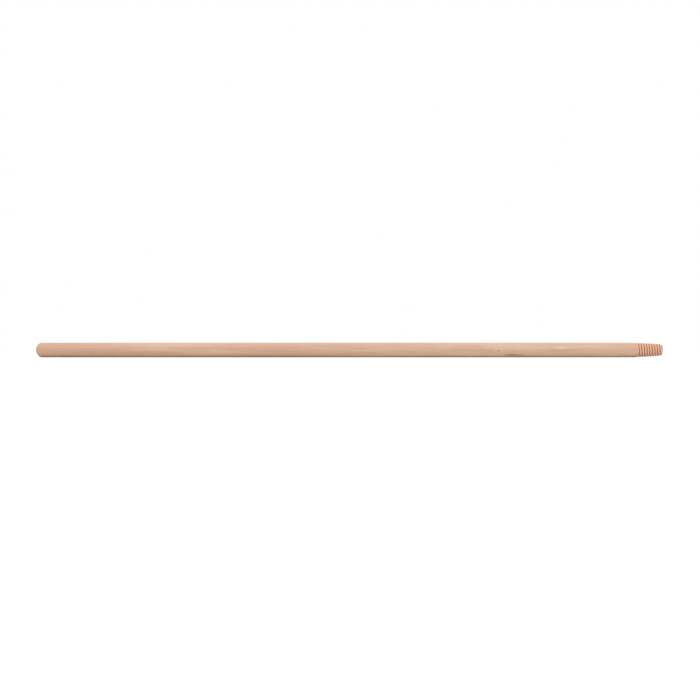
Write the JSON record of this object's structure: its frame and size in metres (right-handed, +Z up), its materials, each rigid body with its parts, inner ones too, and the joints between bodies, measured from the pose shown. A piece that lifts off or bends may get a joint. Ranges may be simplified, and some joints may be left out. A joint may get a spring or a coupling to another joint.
{
  "type": "roller extension pole",
  "caption": "Straight round hardwood pole with a domed butt and a tapered, coarse-threaded tip that screws into a paint roller frame.",
  "frame": {"origin": "on the surface that the pole lies on, under the middle of its length", "axes": "+X along the pole towards the threaded tip, +Z up, +Y to the left when looking along +X"},
  "size_m": [1.2192, 0.0286, 0.0286],
  "materials": {
    "wood": "satin"
  },
  "bodies": {
    "root": {"pole": "wood"}
  },
  "joints": []
}
